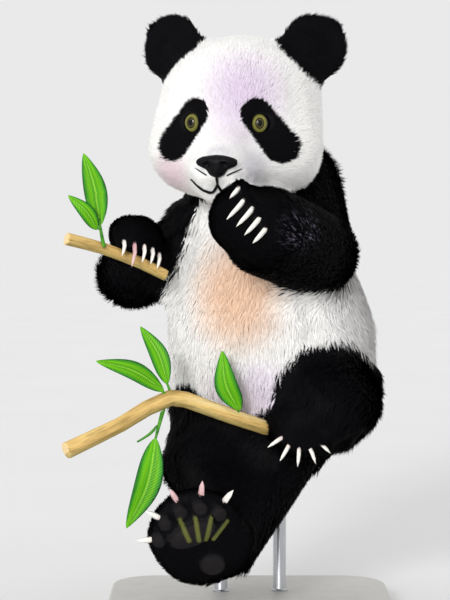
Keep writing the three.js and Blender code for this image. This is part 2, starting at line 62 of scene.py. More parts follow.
# Each kind of body part: depth of the coat, length and half width of a tuft, tufts on a square
# centimetre, what share of the smoothing it takes, whether the coat is black, and its group
COLUMNS = ("depth", "length", "half", "crowd", "soft", "black", "group")
ROWS = {
    "head": (0.0085, 0.016, 0.0007, 50, 1, 0, "head"),
    "ear": (0.0045, 0.013, 0.0007, 42, 1, 1, "head"),
    "neck": (0.011, 0.027, 0.001, 22, 1, 1, "arms"),
    "trunk": (0.012, 0.028, 0.0009, 34, 1, 0, "trunk"),
    "tail": (0.011, 0.028, 0.001, 30, 1, 0, "trunk"),
    "upper_arm": (0.011, 0.027, 0.001, 22, 1, 1, "arms"),
    "forearm": (0.0095, 0.022, 0.001, 26, 1, 1, "arms"),
    "hand": (0.0035, 0.010, 0.0007, 42, 0.4, 1, "arms"),
    "thigh": (0.011, 0.026, 0.001, 22, 1, 1, "legs"),
    "shank": (0.0095, 0.023, 0.001, 24, 1, 1, "legs"),
    "foot": (0.0035, 0.009, 0.0007, 42, 0.4, 1, "legs"),
}
COAT = {name: dict(zip(COLUMNS, row)) for name, row in ROWS.items()}


def kind(node):
    """The kind of body part that a node is, or None if it isn't flesh."""
    name = node.removesuffix("_left").removesuffix("_right")
    return name if name in COAT else None


def middle(*names):
    """The mean of the middles of some nodes' boxes."""
    return np.mean([np.mean(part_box(name), axis=0) for name in names], axis=0)


def unit(vectors):
    """Vectors with a length of one."""
    return vectors / np.maximum(np.linalg.norm(vectors, axis=-1, keepdims=True), 1e-9)


FLESH = sorted(name for name in NODES if kind(name))
KINDS = [kind(node) for node in FLESH]

# the head's own directions: across to its left, forward out of the face, and up
EYES = {eye: middle(eye) for eye in ("eye_right", "eye_left")}
NOSE = middle("nose")
ACROSS = unit(EYES["eye_left"] - EYES["eye_right"])
FORWARD = unit(np.cross([0, 0, 1], -ACROSS))
UP = np.cross(ACROSS, -FORWARD)
MOUTH = NOSE - 0.012 * UP

# ---- numbers at points


def away(points, centre):
    """How far points are from a centre."""
    return np.linalg.norm(points - centre, axis=-1)


def step_up(value, low, high):
    """0 below low, 1 above high, and a smooth step between them."""
    t = np.clip((value - low) / (high - low), 0, 1)
    return t * t * (3 - 2 * t)


def blot(points, centre, radii):
    """1 at a centre, falling to 0 at the radii's distance from it."""
    near = np.linalg.norm((points - centre) / radii, axis=1)
    return 1 - step_up(near, 0.25, 1)


def neighbours(faces, count):
    """Each point's mean over its neighbours, as a function of an array of values."""
    pairs = faces[:, [0, 1, 1, 2, 2, 0]].reshape(-1, 2)
    pairs = np.unique(np.sort(pairs, axis=1), axis=0)
    ends, others = np.concatenate([pairs, pairs[:, ::-1]]).T.copy()
    degree = np.bincount(ends, minlength=count)

    def mean(values):
        flat = values.reshape(count, -1)
        columns = [np.bincount(ends, flat[others, k], count) / degree for k in range(flat.shape[1])]
        return np.stack(columns, axis=1).reshape(values.shape)

    return mean


def smoothed(values, mean, rounds):
    """Values drawn towards the mean of their neighbours, some times over."""
    for _ in range(rounds):
        values = values + 0.5 * (mean(values) - values)
    return values


def rounded(points, mean, rounds, inward, outward, share=1.0):
    """Points smoothed without shrinking: each round draws them in, then lets them back out."""
    for _ in range(rounds):
        points = points + inward * share * (mean(points) - points)
        points = points - outward * share * (mean(points) - points)
    return points


# ---- meshes


def welded(node):
    """A node's corner points, normals and triangles, with the points that coincide made one."""
    shape = bmesh.new()
    shape.from_mesh(NODES[node].data)
    bmesh.ops.remove_doubles(shape, verts=shape.verts, dist=1e-6)
    bmesh.ops.triangulate(shape, faces=shape.faces)
    shape.normal_update()
    points = np.array([v.co for v in shape.verts])
    normals = np.array([v.normal for v in shape.verts])
    faces = np.array([[v.index for v in f.verts] for f in shape.faces])
    shape.free()
    return points, normals, faces


def solid(node):
    """A node's points and triangles."""
    points, _, faces = welded(node)
    return points, faces


def joined(parts):
    """Some parts, each given as points and triangles, as one."""
    starts = np.cumsum([0] + [len(points) for points, _ in parts])
    points = np.concatenate([points for points, _ in parts])
    faces = np.concatenate([faces + start for (_, faces), start in zip(parts, starts)])
    return points, faces


def tree_of(parts):
    """A tree that finds the nearest or the first triangle of some parts."""
    points, faces = joined(parts)
    return BVHTree.FromPolygons(points.tolist(), faces.tolist())


def loose_mesh(points, faces, smooth=True):
    """A mesh from arrays of points and triangles."""
    mesh = bpy.data.meshes.new("mesh")
    mesh.vertices.add(len(points))
    mesh.vertices.foreach_set("co", np.asarray(points, np.float32).ravel())
    mesh.loops.add(faces.size)
    mesh.loops.foreach_set("vertex_index", np.asarray(faces, np.int32).ravel())
    mesh.polygons.add(len(faces))
    mesh.polygons.foreach_set("loop_start", np.arange(0, faces.size, 3, dtype=np.int32))
    mesh.polygons.foreach_set("use_smooth", np.full(len(faces), smooth))
    mesh.update(calc_edges=True)
    return mesh


def made(name, points, faces, smooth=True):
    """A new object from arrays of points and triangles."""
    obj = bpy.data.objects.new(name, loose_mesh(points, faces, smooth))
    scene.collection.objects.link(obj)
    return obj


def dressed(piece, stuff, slot, *nodes):
    """A piece with its material, on the one body, in the place of some nodes; its slot is not used."""
    piece.data.materials.append(stuff)
    if nodes:
        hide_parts(*nodes)
    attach(piece, "root")


def read_all(items, key, columns, number=np.float32):
    """One value of every item in a list of Blender's, as an array."""
    values = np.empty(len(items) * columns, number)
    items.foreach_get(key, values)
    return values.reshape(-1, columns)


def arrays(mesh):
    """A mesh's points, normals and triangles."""
    points = read_all(mesh.vertices, "co", 3).astype(float)
    normals = read_all(mesh.vertex_normals, "vector", 3).astype(float)
    mesh.calc_loop_triangles()
    return points, normals, read_all(mesh.loop_triangles, "vertices", 3, np.int32)


def shaped(rough, modifier_type, **settings):
    """The points and triangles that a modifier makes of an object, which goes."""
    modifier = rough.modifiers.new("shaped", modifier_type)
    for key, value in settings.items():
        setattr(modifier, key, value)
    seen = rough.evaluated_get(bpy.context.evaluated_depsgraph_get())
    points, _, faces = arrays(seen.to_mesh())
    bpy.data.objects.remove(rough)
    return points, faces


def melted(parts, voxel):
    """One closed mesh round some parts, as points and triangles, without what is shut inside it."""
    rough = made("rough", *joined(parts))
    return largest(*shaped(rough, "REMESH", mode="VOXEL", voxel_size=voxel))


def largest(points, faces):
    """The connected piece that has most points."""
    piece = np.arange(len(points))
    ends, others = faces[:, [0, 1, 1, 2]].reshape(-1, 2).T.copy()
    while True:
        low = piece.copy()
        np.minimum.at(low, ends, piece[others])
        np.minimum.at(low, others, piece[ends])
        low = low[low]
        if (low == piece).all():
            break
        piece = low
    kept = piece == np.bincount(piece).argmax()
    number = np.cumsum(kept) - 1
    return points[kept], number[faces[kept[faces[:, 0]]]]


def facings(points, faces):
    """Each triangle's normal, as long as twice its area."""
    a, b, c = (points[faces[:, k]] for k in range(3))
    return np.cross(b - a, c - a)


def normals_of(points, faces):
    """The normal at each point: that of its triangles, by their area."""
    facing = facings(points, faces)
    normals = np.zeros_like(points)
    for k in range(3):
        for axis in range(3):
            normals[:, axis] += np.bincount(faces[:, k], facing[:, axis], len(points))
    return unit(normals)


def finer(points, faces, near):
    """Halves the edges whose two ends both lie near one of some places, given as (place, distance)."""
    shape = bmesh.new()
    shape.from_mesh(loose_mesh(points, faces))
    inside = np.zeros(len(points), bool)
    for place, distance in near:
        inside |= away(points, place) < distance
    edges = [edge for edge in shape.edges if all(inside[vert.index] for vert in edge.verts)]
    bmesh.ops.subdivide_edges(shape, edges=edges, cuts=1, use_grid_fill=True)
    bmesh.ops.triangulate(shape, faces=shape.faces)
    mesh = bpy.data.meshes.new("finer")
    shape.to_mesh(mesh)
    shape.free()
    points, _, faces = arrays(mesh)
    return points, faces


def ball_faces(rings, sides):
    """The triangles of a ball: a point at each pole, and rings of points between them."""
    faces = []
    last = 1 + rings * sides
    for side in range(sides):
        after = (side + 1) % sides
        faces.append((0, 1 + side, 1 + after))
        for ring in range(rings - 1):
            a, b = 1 + ring * sides + side, 1 + ring * sides + after
            faces.extend([(a, a + sides, b + sides), (a, b + sides, b)])
        base = 1 + (rings - 1) * sides
        faces.append((base + side, last, base + after))
    return np.array(faces)


def closed_rings(first, rings, last):
    """Rings of points closed by a point at each end, as points and triangles."""
    points = np.concatenate([[first], *rings, [last]])
    return points, ball_faces(len(rings), len(rings[0]))[:, ::-1]


def tube(line, radii, sides=10):
    """A round tube along a line of points, closed at both ends, as points and triangles."""
    line = np.asarray(line, float)
    along = unit(np.gradient(line, axis=0))
    rings = []
    side = unit(np.cross(along[0], [0.3, 0.2, 1]))
    for place, way, radius in zip(line, along, radii):
        side = unit(side - (side @ way) * way)
        over = np.cross(way, side)
        turn = np.linspace(0, 2 * math.pi, sides, endpoint=False)
        rings.append(place + radius * (np.outer(np.cos(turn), side) + np.outer(np.sin(turn), over)))
    return closed_rings(line[0], rings, line[-1])


# ---- the body at the tips of its coat


def melted_body():
    """The whole body in one mesh, with no cuts, still out at the tips of the coat."""
    parts = []
    for node in [*FLESH, "eye_left", "eye_right", "nose"]:
        points, normals, faces = welded(node)
        parts.append((points + (SWELL if kind(node) else -SWELL) * normals, faces))
    return melted(parts, VOXEL)


def owners(points):
    """Which flesh node each point lies nearest to, as an index in FLESH."""
    parts = [solid(node) for node in FLESH]
    tree = tree_of(parts)
    owner = np.repeat(np.arange(len(FLESH)), [len(faces) for _, faces in parts])
    return owner[[tree.find_nearest(point)[2] for point in points.tolist()]]


def spread(key, rounds):
    """A value of COAT at every point of the body, blended where two parts meet."""
    table = np.array([COAT[name][key] for name in KINDS], float)
    return smoothed(table[owner], mean, rounds)


def face_share():
    """1 at the nose and the eyes, 0 over the back of the head and off it."""
    share = 1 - step_up(away(body_points, NOSE), *FACE["nose"])
    for eye in EYES.values():
        share = np.maximum(share, 1 - step_up(away(body_points, eye), *FACE["eye"]))
    return share * is_head


body_points, body_faces = melted_body()
mean = neighbours(body_faces, len(body_points))
owner = owners(body_points)
body_points = rounded(body_points, mean, **SMOOTHING, share=spread("soft", 4)[:, None])
for eye_reach, mouth_reach, sole_reach in FINER:
    features = [(EYES[eye], eye_reach) for eye in EYES]
    features += [(MOUTH, mouth_reach), (middle("foot_right"), sole_reach)]
    body_points, body_faces = finer(body_points, body_faces, features)
mean = neighbours(body_faces, len(body_points))
owner = owners(body_points)
body_normals = unit(smoothed(normals_of(body_points, body_faces), mean, 3))

is_head = smoothed((np.array(KINDS)[owner] == "head").astype(float), mean, 6)
face = face_share()
thinner = 1 - SHORTER * face
depth = spread("depth", 12) * thinner
OUTSIDE = body_points - SWELL * body_normals  # where the tips of the coat lie

# ---- the sole that shows

FIRST, MID, LAST = (middle(f"claw_foot_right_{n}") for n in (1, 3, 5))
SOLE = FIRST + LAST - MID  # the toes stand in a fan of 60 degrees to each side of this place
TO_TOES = unit(MID - SOLE)
SOLE_ACROSS = unit(LAST - FIRST)
SOLE_OUT = np.cross(SOLE_ACROSS, TO_TOES)
TOE_FAN = math.radians(30)
TOE_REACH = 0.048  # from the middle of that fan to the pad of a toe
# each pad's place across and along the sole, and its half width and half height
PADS = [(0, 0.016, 0.032, 0.015), (0.003, -0.034, 0.016, 0.014)] + [
    (TOE_REACH * math.sin(n * TOE_FAN), TOE_REACH * math.cos(n * TOE_FAN), 0.009, 0.009)
    for n in range(-2, 3)
]
# the short folds of the sole: where each starts, to the side, and how it leans
FOLDS = [(-0.009, -24), (0.003, -9), (0.012, 12), (0.021, 38)]
FOLD = dict(start=0.003, long=0.028, half=0.0028)
PAD_BARE, FOLD_BARE = 0.8, 0.7  # how much of the coat's depth they lose
PAD_EDGE, FOLD_EDGE = (0.8, 1.15), (0.6, 1.3)  # where they start to end, and end, for their size


def on_pads(points):
    """1 on the bare pads of the sole, 0 off them."""
    at = points - SOLE
    across, along = at @ SOLE_ACROSS, at @ TO_TOES
    pad = np.zeros(len(points))
    for x, y, wide, high in PADS:
        near = np.hypot((across - x) / wide, (along - y) / high)
        pad = np.maximum(pad, 1 - step_up(near, *PAD_EDGE))
    return np.where(at @ SOLE_OUT > 0, pad, 0)


def on_folds(points):
    """1 on the short folds that stand in a fan in the middle of the sole, 0 off them."""
    at = points - SOLE
    fold = np.zeros(len(points))
    for x, lean in FOLDS:
        way = np.array([math.sin(math.radians(lean)), 0, math.cos(math.radians(lean))])
        start = np.array([x, 0, FOLD["start"]])
        share = np.clip((at - start) @ way, 0, FOLD["long"])
        aside = (at - start - share[:, None] * way)[:, [0, 2]]
        fold = np.maximum(fold, 1 - step_up(np.hypot(*aside.T) / FOLD["half"], *FOLD_EDGE))
    return np.where(at @ SOLE_OUT > 0, fold, 0)


depth = depth * (1 - PAD_BARE * on_pads(OUTSIDE)) * (1 - FOLD_BARE * on_folds(OUTSIDE))
body_points = OUTSIDE - depth[:, None] * body_normals

# ---- lids, and where the eyes look

ROUND_EYE = 0.026  # how far round an eye the skin shows which way its lids face
EYE_RADIUS = float((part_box("eye_left")[1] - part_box("eye_left")[0])[2]) / 2
OPENING = (0.0122, 0.0106)  # half the opening of the lids, across and up
LID = 0.0013  # how thick a lid lies on the eyeball
LID_SINKS = (1.15, 1.9)  # where it starts to sink away into the skin, and where it ends, in openings
LID_DROP = 0.006  # and how far it sinks
RIM, RIM_WIDTH = 1.04, 0.12  # where the opening ends, in openings, and over how much
SOCKET = 0.8  # how deep the skin lies behind the opening, in radii of the eye
FAR = 9  # openings: farther than any lid


def lid_axis(eye):
    """The way that the skin round an eye faces."""
    near = away(body_points, EYES[eye]) < ROUND_EYE
    return unit(body_normals[near].sum(axis=0))


LID_AXIS = {eye: lid_axis(eye) for eye in EYES}
# an eye looks half way between where its lids face and where the whole face does
GAZE = {eye: unit(0.5 * LID_AXIS[eye] + 0.5 * FORWARD) for eye in EYES}


def sides_of(axis):
    """The two directions across a line of sight: to its side, and upward."""
    up = unit(np.array([0, 0, 1]) - axis[2] * axis)
    return np.cross(axis, up), up


def opening_at(points, eye):
    """How far points are from the middle of an eye's opening: 1 is at the rim of its lids."""
    at = points - EYES[eye]
    side, up = sides_of(LID_AXIS[eye])
    reach = np.hypot(at @ side / OPENING[0], at @ up / OPENING[1])
    return np.where(at @ LID_AXIS[eye] > 0, reach, FAR)


def with_lids(points):
    """The skin drawn over each eyeball as a lid, and pushed in behind the lids' opening."""
    for eye, centre in EYES.items():
        reach = opening_at(points, eye)
        ways = points - centre
        out = np.linalg.norm(ways, axis=1)
        lid = EYE_RADIUS + LID - LID_DROP * step_up(reach, *LID_SINKS)
        shut = np.maximum(out, lid)
        is_open = step_up(RIM - reach, 0, RIM_WIDTH)
        wanted = shut + is_open * (SOCKET * EYE_RADIUS - shut)
        wanted = np.where(reach < LID_SINKS[1], wanted, out)
        points = centre + ways * (wanted / out)[:, None]
    return points


body_points = with_lids(body_points)
skin = made("skin", body_points, body_faces)
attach(skin, "root")
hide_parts(*FLESH)
skin_tree = tree_of([(body_points, body_faces)])

# ---- lips

BEFORE = 0.05  # how far before the nose the lines start, to be drawn back onto the face
LIP_RADIUS = 0.0017
LIP_LIFT = 0.7  # how far up in the coat the line of the lips lies
LIP_TAPER = 0.45  # how much thinner it ends than it starts
STEM = 0.010  # from the middle of the nose down to where the line starts
LIP_DROP = 0.0215  # and down to where the lips part
SMILE = dict(dip=0.0095, low=0.009, corner=0.038, rise=0.016, hidden=0.75)
CREASE = dict(across=0.012, up=-0.0105, long=0.016, rise=0.008, thick=0.5)


def in_coat(points):
    """Where points before the face would meet its skin, lifted by a share of the coat's depth."""
    met = []
    for point in points:
        place, normal, triangle, _ = skin_tree.ray_cast(Vector(point), Vector(-FORWARD))
        if place is not None:
            met.append(place + normal * LIP_LIFT * depth[body_faces[triangle, 0]])
    return np.array(met)


def lip_lines():
    """The lines of the mouth as (across, up) from the nose: a stem, two lips and two creases."""
    lines = [([(0, -STEM - drop) for drop in np.linspace(0, LIP_DROP - STEM, 8)], 1)]
    for side in (-1, 1):
        lip = []
        for across in np.linspace(0, SMILE["corner"] * (1 if side < 0 else SMILE["hidden"]), 26):
            near = min(across / SMILE["low"], 1)
            far = max(across - SMILE["low"], 0) / (SMILE["corner"] - SMILE["low"])
            up = -SMILE["dip"] * math.sin(near * math.pi / 2) + SMILE["rise"] * far**1.6
            lip.append((side * across, up - LIP_DROP))
        lines.append((lip, 1))
        crease = [
            (side * (CREASE["across"] + CREASE["long"] * t), CREASE["up"] + CREASE["rise"] * t)
            for t in np.linspace(0, 1, 10)
        ]
        lines.append((crease, CREASE["thick"]))
    return lines


def lips():
    """Dark lines that lie in the coat of the muzzle."""
    tubes = []
    for line, thick in lip_lines():
        starts = [NOSE + across * ACROSS + up * UP + BEFORE * FORWARD for across, up in line]
        line = in_coat(starts)
        share = np.linspace(0, 1, len(line))
        tubes.append(tube(line, thick * LIP_RADIUS * (1 - LIP_TAPER * share**3)))
    return joined(tubes)


lip_points, lip_faces = lips()

# ---- the lie of the coat

NEXT = {"upper_arm": "forearm", "forearm": "hand", "thigh": "shank", "shank": "foot"}
DOWN = np.array([0, 0.12, -1])


def along_skin(ways, normals):
    """The directions along the skin that are nearest to some ways."""
    return unit(ways - np.sum(ways * normals, axis=1, keepdims=True) * normals)


def lie_of_coat():
    """The way the coat lies at every point: back from the nose, down the body, out along the limbs."""
    lie = np.tile(DOWN, (len(body_points), 1))
    for number, (node, name) in enumerate(zip(FLESH, KINDS)):
        here = owner == number
        if name == "head":
            lie[here] = body_points[here] - NOSE
        elif name == "ear":
            lie[here] = body_points[here] - middle("head")
        elif name in NEXT:
            lie[here] = middle(node.replace(name, NEXT[name])) - middle(node)
        elif name in ("hand", "foot"):
            claws = [f"claw_{node}_{n}" for n in range(1, 6)]
            lie[here] = middle(*claws) - middle(node)
        elif name == "tail":
            lie[here] = middle("tail") - middle("trunk")
    lie = unit(lie)
    for _ in range(5):
        lie = along_skin(smoothed(lie, mean, 8), body_normals)
    return lie


# ---- markings, and painted shade on the white coat


def linear(red, green, blue):
    """A screen colour, 0 to 255, as light."""
    value = np.array([red, green, blue]) / 255
    return np.where(value <= 0.04045, value / 12.92, ((value + 0.055) / 1.055) ** 2.4)


WHITE = linear(250, 249, 247)
BLACK = linear(6, 6, 9)
# painted shade: a lavender tint where the white coat lies in shade
LAVENDER_SHADE = linear(224, 206, 229)
PEACH = linear(242, 206, 176)
ROSE = linear(232, 204, 214)
LEATHER = linear(22, 19, 21)
OLIVE = linear(98, 102, 48)
GLEAM = linear(150, 142, 166)
CREAM = linear(238, 226, 205)
# painted shade: grey laid on the white coat of the muzzle
GREY_SHADE = linear(196, 192, 202)
SHADOW = linear(190, 187, 187)
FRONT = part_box("trunk")[0][1]  # of the belly

# the black patch of an eye: its upper and lower middle as (out, up) from the eye, and its radius there
PATCH_TOP, PATCH_LOW = np.array([-0.0015, 0.012]), np.array([0.029, -0.0275])
PATCH_RADII = (0.0185, 0.0208)
PATCH_BACK = 0.06  # how far behind the eye it ends
# where the black of the limbs gives way to white: how strongly, round what place, and how far
WHITENED = (
    (2.0, (-0.025, FRONT, 0.296), (0.08, 0.1, 0.03)),  # between the thighs
    (2.2, (-0.058, -0.07, 0.515), (0.034, 0.1, 0.05)),  # the breast, up to the chin
)
# the soft tints of the white coat, several of them painted shade: the colour, its strength, round what
# place, and how far
TINTS = (
    # painted lavender shade over the shaded side of the forehead
    (LAVENDER_SHADE, 0.9, NOSE + 0.095 * UP + 0.032 * ACROSS, (0.085, 0.13, 0.09)),  # forehead
    (ROSE, 0.7, NOSE - 0.072 * ACROSS - 0.012 * UP - 0.06 * FORWARD, (0.035, 0.07, 0.045)),  # cheek
    # painted lavender shade on the lap, between the thighs
    (LAVENDER_SHADE, 0.6, (0.005, FRONT, 0.3), (0.1, 0.16, 0.06)),  # lap
    (PEACH, 0.95, (-0.018, FRONT, 0.435), (0.085, 0.14, 0.1)),  # belly
    # painted grey shade on the bridge of the nose
    (GREY_SHADE, 0.5, NOSE + 0.018 * UP, (0.026, 0.03, 0.012)),  # bridge of the nose
    # painted grey shade on the side of the muzzle
    (GREY_SHADE, 0.6, NOSE + 0.046 * ACROSS + 0.002 * UP - 0.02 * FORWARD, (0.03, 0.05, 0.035)),  # muzzle
    (SHADOW, 0.7, (0.15, 0.0, 0.40), (0.075, 0.16, 0.15)),  # flank
    (CREAM, 0.35, middle("tail"), (0.09, 0.09, 0.09)),
)


def eye_patch(points):
    """How deep a point is in a black patch that runs out and down from each eye, 0 at its edge."""
    deep = np.full(len(points), -1.0)
    way = PATCH_LOW - PATCH_TOP
    for eye, side in (("eye_right", -1), ("eye_left", 1)):
        at = points - EYES[eye]
        flat = np.stack([side * (at @ ACROSS), at @ UP], axis=1) - PATCH_TOP
        share = np.clip(flat @ way / (way @ way), 0, 1)
        radius = np.interp(share, (0, 1), PATCH_RADII)
        near = np.linalg.norm(flat - np.outer(share, way), axis=1) / radius
        near[at @ FORWARD < -PATCH_BACK] = FAR
        deep = np.maximum(deep, 1 - near)
    return deep


def markings(points):
    """How black the coat is at some points, 0 at an edge, and its pale colour with its painted shades."""
    black = np.array([COAT[name]["black"] for name in KINDS], float)
    dark = smoothed(black[owners(points)], mean, 30) * 2 - 1
    dark = np.maximum(dark, np.where(is_head > 0.5, 4 * eye_patch(points), -1))
    for strength, centre, radii in WHITENED:
        dark -= strength * blot(points, centre, radii)
    tint = np.tile(WHITE, (len(points), 1))
    for colour, strength, centre, radii in TINTS:
        share = strength * blot(points, centre, radii)
        tint += share[:, None] * (colour - tint)
    return dark, tint


# ---- materials


def give(piece, **named):
    """Gives a piece named values at each point: numbers, or threes such as colours."""
    for name, values in named.items():
        if values.ndim == 1:
            layer = piece.data.attributes.new(name, "FLOAT", "POINT")
            layer.data.foreach_set("value", values.astype(np.float32))
        else:
            layer = piece.data.color_attributes.new(name, "FLOAT_COLOR", "POINT")
            rgba = np.column_stack([values, np.ones(len(values))])
            layer.data.foreach_set("color", rgba.astype(np.float32).ravel())


class Stuff:
    """A principled material that is put together node by node."""

    def __init__(self, name, **sockets):
        self.made = bpy.data.materials.new(name)
        self.made.use_nodes = True
        self.tree = self.made.node_tree
        self.shader = self.tree.nodes["Principled BSDF"]
        for socket, value in sockets.items():
            name = socket.replace("_", " ").title().replace("Ior", "IOR")
            self.shader.inputs[name].default_value = value

    def node(self, kind, inputs=None, **settings):
        node = self.tree.nodes.new(f"ShaderNode{kind}")
        for key, value in settings.items():
            setattr(node, key, value)
        for key, value in (inputs or {}).items():
            self.link(value, node.inputs[key])
        return node

    def link(self, value, socket):
        if isinstance(value, bpy.types.NodeSocket):
            self.tree.links.new(value, socket)
        else:
            socket.default_value = value

    def read(self, name, output="Fac"):
        """A named value of the mesh, as a number, a Color or a Vector."""
        return self.node("Attribute", attribute_name=name).outputs[output]

    def place(self):
        return self.node("TexCoord").outputs["Object"]

    def mix(self, share, one, other, blend="MIX"):
        node = self.node("Mix", data_type="RGBA", blend_type=blend)
        for socket, value in ((0, share), (6, one), (7, other)):
            self.link(value, node.inputs[socket])
        return node.outputs[2]

    def times(self, one, other):
        return self.mix(1, one, other, "MULTIPLY")

    def ramp(self, value, *stops):
        node = self.node("ValToRGB", {"Fac": value})
        band = node.color_ramp.elements
        band[0].position = stops[0][0]
        band[1].position = stops[-1][0]
        for at, _ in stops[1:-1]:
            band.new(at)
        for element, (_, colour) in zip(band, stops):
            element.color = (*colour, 1) if np.ndim(colour) else (colour, colour, colour, 1)
        return node.outputs["Color"]

    def shades(self, value, *stops):
        """A ramp of screen colours, 0 to 255."""
        return self.ramp(value, *[(at, linear(*colour)) for at, colour in stops])

    def noise(self, scale, detail=3, place=None):
        where = {"Vector": place or self.place(), "Scale": scale, "Detail": detail}
        return self.node("TexNoise", where).outputs["Fac"]

    def wave(self, value, rate):
        """The sine of a value times a rate."""
        turn = self.node("Math", {0: value, 1: rate}, operation="MULTIPLY").outputs[0]
        return self.node("Math", {0: turn}, operation="SINE").outputs[0]

    def colour(self, value):
        self.link(value, self.shader.inputs["Base Color"])

    def bump(self, height, depth, strength=0.6):
        node = self.node("Bump", {"Height": height, "Strength": strength, "Distance": depth})
        self.link(node.outputs["Normal"], self.shader.inputs["Normal"])


def coat_stuff():
    """Fur: each tuft is a little darker at its root, painted shade where the tufts crowd."""
    fur = Stuff("coat", roughness=0.55, specular_ior_level=0.06)
    shade = fur.ramp(fur.read("shade"), (0, 0.92), (0.5, 1.0))
    fur.colour(fur.times(fur.read("tint", "Color"), shade))
    return fur.made


def skin_stuff():
    """Skin under the coat, dull, finely grained, and a little darker than the coat."""
    hide = Stuff("skin", roughness=0.65, specular_ior_level=0.12)
    mottle = hide.ramp(hide.noise(60), (0.3, 0.88), (0.7, 0.98))
    hide.colour(hide.times(hide.read("tint", "Color"), mottle))
    hide.bump(hide.noise(900, 4), 0.0006)
    return hide.made


# ---- the coat

UP_TUFT = np.array([0, 0.52])  # where the two rows of three points stand along a tuft
WIDE = np.array([0.8, 1.0])  # and how wide it is there
TIPS = ((1.0, -0.5), (0.9, 0.55))  # how far out and how far aside its two tips are
TUFT_FACES = np.array([(0, 1, 4), (0, 4, 3), (1, 2, 5), (1, 5, 4), (3, 4, 6), (4, 5, 7)])
TUFT_POINTS = 8
ROOTED = 0.001  # how deep a tuft starts in the skin
CURVED = 0.45  # how far its sides lie lower than its middle, in half widths
ROUND = 0.38  # how far its normals lean out to its sides
SWAY = dict(yaw=0.16, curl=0.10)  # how far tufts stray from the lie of the coat
SHORTEST = 0.0022  # a shorter tuft is left out
CUT_BACK = 0.75  # how much of the free way a tuft takes where something is in its way
MOST_TUFTS = 32000  # in one piece of the coat
BAKE_PATCH = 0.003  # how broad a tuft's own patch of the map is
# how one tuft differs from the next, as factors, and how ragged the edge of the black is
VARIED = dict(length=(0.75, 1.2), half=(0.8, 1.25), rise=(0.7, 1.1), tint=(0.9, 1.06))
RAGGED = 0.09
FACE_CROWD, FACE_FINE = 0.9, 0.4  # how much denser and finer the tufts of the face are
# a painted highlight of pale tufts on the raised forearm: round what place, how far, how many and how pale
GLEAM_AT = middle("forearm_left") + [-0.004, -0.05, 0.012]
GLEAM_RADII = (0.055, 0.06, 0.03)
GLEAM_CROWD, GLEAM_PALE = 0.16, 0.6
# where no tuft grows: half the width and height of the nose's pad and how far back, and round
# eyes, pads, folds and lips
BARE = dict(nose=(0.0215, 0.0115), back=0.03, opening=1.22, pad=0.4, fold=0.1, lip=1.5 * LIP_RADIUS)


def unwrapped(obj):
    """Unwraps a mesh, and gives each triangle corner's place on the map."""
    bpy.context.view_layer.objects.active = obj
    obj.select_set(True)
    bpy.ops.object.mode_set(mode="EDIT")
    bpy.ops.mesh.select_all(action="SELECT")
    bpy.ops.uv.smart_project(angle_limit=math.radians(66), island_margin=0.002)
    bpy.ops.object.mode_set(mode="OBJECT")
    obj.select_set(False)
    layer = obj.data.uv_layers.active
    layer.name = "OFBake"
    return read_all(layer.data, "uv", 2).reshape(-1, 3, 2)


def roots(crowd):
    """Evenly strewn roots: the triangle each stands on, and its shares of the three corners."""
    area = np.linalg.norm(facings(body_points, body_faces), axis=1) / 2
    wanted = np.cumsum(area * 1e4 * crowd[body_faces].mean(axis=1))
    count = int(wanted[-1])
    spots = (np.arange(count) + dice.random(count)) * wanted[-1] / count
    triangle = np.minimum(np.searchsorted(wanted, spots), len(area) - 1)
    u, v = dice.random((2, count))
    over = u + v > 1
    u[over], v[over] = 1 - u[over], 1 - v[over]
    return triangle, np.stack([1 - u - v, u, v], axis=1)


def tufts(root, normal, lie, length, half, rise):
    """The points of all tufts and their normals: each rises from its root, then lies along the body."""
    count = len(root)
    yaw = dice.normal(0, SWAY["yaw"], count)[:, None]
    side = np.cross(lie, normal)
    lie = lie * np.cos(yaw) + side * np.sin(yaw)
    side = np.cross(lie, normal)
    curl = dice.normal(0, SWAY["curl"], count)
    points = np.empty((count, TUFT_POINTS, 3))
    facing = np.empty((count, TUFT_POINTS, 3))

    def place(along, aside):
        up = rise * (1 - (1 - along) ** 2) - ROOTED
        sideways = aside + length * curl * along**2
        return root + lie * (length * along)[:, None] + normal * up[:, None] + side * sideways[:, None]

    for row, (along, wide) in enumerate(zip(UP_TUFT, WIDE)):
        for column, across in enumerate((-1, 0, 1)):
            sunk = CURVED * half * wide * abs(across)
            points[:, 3 * row + column] = place(along, across * half * wide) - normal * sunk[:, None]
            facing[:, 3 * row + column] = normal + ROUND * across * side
    for tip, (along, aside) in enumerate(TIPS):
        points[:, 6 + tip] = place(along, aside * half)
        facing[:, 6 + tip] = normal + ROUND * aside * side + 0.1 * lie
    return points, unit(facing)


def clear_of(root, tip):
    """How much of each tuft's way is free of the lips and of all that isn't flesh."""
    tree = tree_of([(lip_points, lip_faces)] + [solid(node) for node in NODES if not kind(node)])
    free = np.ones(len(root))
    for number, (start, end) in enumerate(zip(root.tolist(), tip.tolist())):
        way = Vector(end) - Vector(start)
        hit = tree.ray_cast(start, way, way.length * 1.1)
        if hit[0] is not None:
            free[number] = hit[3] / way.length
    return free


def bare(points):
    """Where no tuft grows: under the nose, at the lids' rims, on pads and folds, and at the lips."""
    at = points - NOSE
    is_behind = at @ FORWARD < -BARE["back"]
    is_bare = np.hypot(at @ ACROSS / BARE["nose"][0], at @ UP / BARE["nose"][1]) + FAR * is_behind < 1
    for eye in EYES:
        is_bare |= opening_at(points, eye) < BARE["opening"]
    is_bare |= (on_pads(points) > BARE["pad"]) | (on_folds(points) > BARE["fold"])
    for point in lip_points[::5]:
        is_bare |= away(points, point) < BARE["lip"]
    return is_bare


